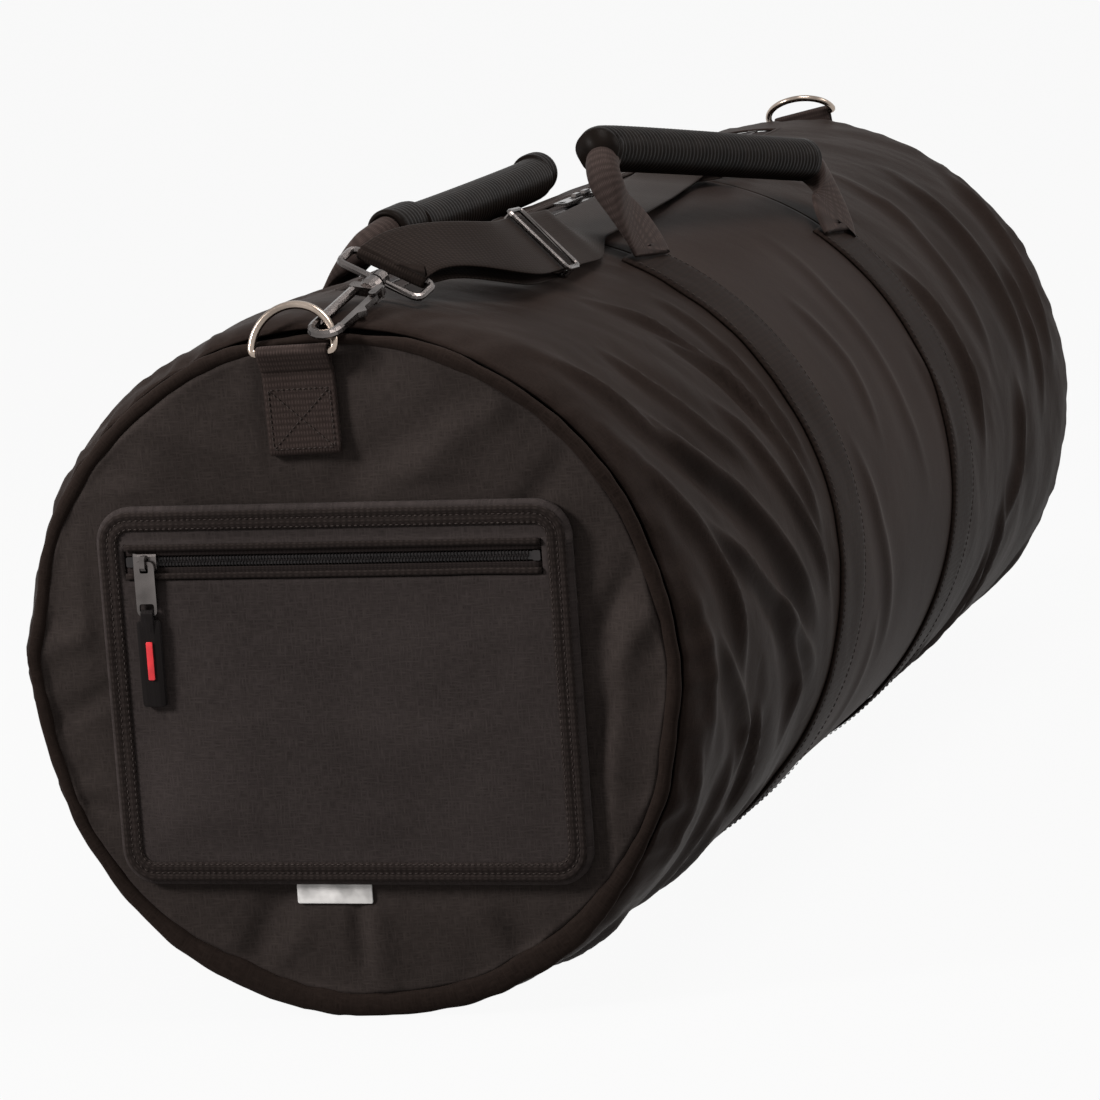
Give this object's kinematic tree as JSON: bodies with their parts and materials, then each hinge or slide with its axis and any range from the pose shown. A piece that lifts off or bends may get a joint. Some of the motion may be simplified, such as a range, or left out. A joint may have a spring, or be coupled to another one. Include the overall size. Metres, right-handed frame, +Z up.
{
  "type": "drum hardware bag",
  "caption": "Padded barrel holdall with a long top zip, a zipped front pocket, carry handles with ribbed grips and a shoulder strap on swivel hooks.",
  "frame": {"origin": "on the floor, under the middle of the barrel's length", "axes": "+Y along the barrel from its pocketed end to its plain end, +Z up, +X to the side of the raised handle"},
  "size_m": [0.3596, 0.9363, 0.4005],
  "materials": {
    "creased_nylon": "satin, creased",
    "smooth_nylon": "satin",
    "panel_weave": "matt weave",
    "pocket_weave": "matt weave",
    "binding_tape": "matt tape",
    "seam_cord": "matt",
    "padded_lining": "matt foam-backed cloth",
    "black_webbing": "woven webbing",
    "zip_tape": "woven tape",
    "zip_chain": "moulded coil",
    "black_nickel": "dark polished",
    "bright_nickel": "bright polished",
    "grip_rubber": "matt ribbed",
    "puller_tape": "matt",
    "red_bar": "matt red",
    "white_label_cloth": "plain white"
  },
  "bodies": {
    "bag": {"front_shell": "creased_nylon", "rear_shell": "creased_nylon", "middle_shell": "smooth_nylon", "barrel_lining": "padded_lining", "front_lining": "padded_lining", "rear_lining": "padded_lining", "front_panel": "panel_weave", "rear_panel": "panel_weave", "front_piping": "seam_cord", "rear_piping": "seam_cord", "front_band": "black_webbing", "rear_band": "black_webbing", "main_zip_tape_near": "zip_tape", "main_zip_tape_far": "zip_tape", "main_chain_front": "zip_chain", "main_chain_rear": "zip_chain", "main_zip_stop_front": "black_nickel", "main_zip_stop_rear": "black_nickel", "pocket_panel": "pocket_weave", "pocket_border": "binding_tape", "pocket_zip_tape_upper": "zip_tape", "pocket_zip_tape_lower": "zip_tape", "pocket_welt_upper": "binding_tape", "pocket_welt_lower": "binding_tape", "pocket_chain": "zip_chain", "pocket_stop_left": "black_nickel", "pocket_stop_right": "black_nickel", "white_tag": "white_label_cloth", "front_ring_tab": "black_webbing", "rear_ring_tab": "black_webbing", "strap_webbing": "black_webbing", "strap_lower_layer": "black_webbing", "front_hook_eye": "black_nickel", "rear_hook_eye": "black_nickel"},
    "near_handle": {"near_handle_webbing": "black_webbing", "near_handle_grip": "grip_rubber"},
    "far_handle": {"far_handle_webbing": "black_webbing", "far_handle_grip": "grip_rubber"},
    "front_ring": {"front_d_ring": "bright_nickel"},
    "rear_ring": {"rear_d_ring": "bright_nickel"},
    "pocket_slider": {"pocket_slider": "black_nickel"},
    "pocket_pull": {"pocket_pull": "black_nickel"},
    "pocket_puller": {"pocket_puller": "puller_tape", "puller_red_bar": "red_bar"},
    "main_slider_front": {"main_slider_front": "black_nickel"},
    "main_slider_rear": {"main_slider_rear": "black_nickel"},
    "main_pull_front": {"main_pull_front": "black_nickel"},
    "main_pull_rear": {"main_pull_rear": "black_nickel"},
    "strap_adjuster": {"strap_adjuster": "black_nickel"},
    "front_hook": {"front_hook_body": "black_nickel", "front_hook_pin": "black_nickel"},
    "rear_hook": {"rear_hook_body": "black_nickel", "rear_hook_pin": "black_nickel"},
    "front_gate": {"front_hook_gate": "black_nickel"},
    "rear_gate": {"rear_hook_gate": "black_nickel"}
  },
  "joints": [
    {"name": "near_handle_swing", "type": "hinge", "parent": "bag", "child": "near_handle", "pos_m": [0.08269, -0.152, 0.3343], "axis": [0.1255, 0.9886, -0.083], "range_deg": [-8, 125]},
    {"name": "far_handle_swing", "type": "hinge", "parent": "bag", "child": "far_handle", "pos_m": [-0.09381, -0.152, 0.32813], "axis": [-0.0101, -0.9999, -0.006], "range_deg": [0, 155]},
    {"name": "front_ring_swing", "type": "hinge", "parent": "bag", "child": "front_ring", "pos_m": [-0.009, -0.463, 0.331], "axis": [1, 0, 0], "range_deg": [-1, 1]},
    {"name": "rear_ring_swing", "type": "hinge", "parent": "bag", "child": "rear_ring", "pos_m": [0.0125, 0.463, 0.3485], "axis": [-0.9848, 0, -0.1736], "range_deg": [0, 140]},
    {"name": "pocket_slider_run", "type": "slide", "parent": "bag", "child": "pocket_slider", "axis": [0.9996, 0, -0.0279], "range_m": [0, 0.19], "deforming": ["pocket_chain"]},
    {"name": "pocket_pull_hinge", "type": "hinge", "parent": "pocket_slider", "child": "pocket_pull", "pos_m": [-0.09688, -0.46515, 0.23235], "axis": [-0.9996, 0, 0.0279], "range_deg": [0, 100]},
    {"name": "pocket_puller_hinge", "type": "hinge", "parent": "pocket_pull", "child": "pocket_puller", "pos_m": [-0.09759, -0.46515, 0.20696], "axis": [-0.9996, 0, 0.0279], "range_deg": [0, 80]},
    {"name": "main_slider_front_run", "type": "slide", "parent": "bag", "child": "main_slider_front", "axis": [0, -1, 0], "range_m": [0, 0.345], "deforming": ["main_chain_front"]},
    {"name": "main_slider_rear_run", "type": "slide", "parent": "bag", "child": "main_slider_rear", "axis": [0, 1, 0], "range_m": [0, 0.355], "deforming": ["main_chain_rear"]},
    {"name": "main_pull_front_hinge", "type": "hinge", "parent": "main_slider_front", "child": "main_pull_front", "pos_m": [0, -0.00865, 0.35185], "axis": [-1, 0, 0], "range_deg": [0, 110]},
    {"name": "main_pull_rear_hinge", "type": "hinge", "parent": "main_slider_rear", "child": "main_pull_rear", "pos_m": [0, 0.00865, 0.35185], "axis": [1, 0, 0], "range_deg": [0, 110]},
    {"name": "adjuster_slide", "type": "slide", "parent": "bag", "child": "strap_adjuster", "axis": [-0.0399, 0.9974, -0.0598], "range_m": [-0.02, 0.035], "deforming": ["strap_lower_layer"]},
    {"name": "front_hook_swivel", "type": "hinge", "parent": "bag", "child": "front_hook", "pos_m": [0.02198, -0.41736, 0.35808], "axis": [-0.2794, -0.8982, -0.3393], "range_deg": [-1.5, 1.5]},
    {"name": "rear_hook_swivel", "type": "hinge", "parent": "bag", "child": "rear_hook", "pos_m": [0.03852, 0.12553, 0.35245], "axis": [0.2517, 0.9665, -0.0503], "range_deg": [-10, 10]},
    {"name": "front_gate_hinge", "type": "hinge", "parent": "front_hook", "child": "front_gate", "pos_m": [0.0245, -0.43254, 0.35196], "axis": [-0.0491, 0.3663, -0.9292], "range_deg": [0, 6], "stiffness_Nm_per_rad": 0.02},
    {"name": "rear_gate_hinge", "type": "hinge", "parent": "rear_hook", "child": "rear_gate", "pos_m": [0.03566, 0.14183, 0.353], "axis": [-0.1936, -0.0007, -0.9811], "range_deg": [0, 15], "stiffness_Nm_per_rad": 0.02}
  ]
}
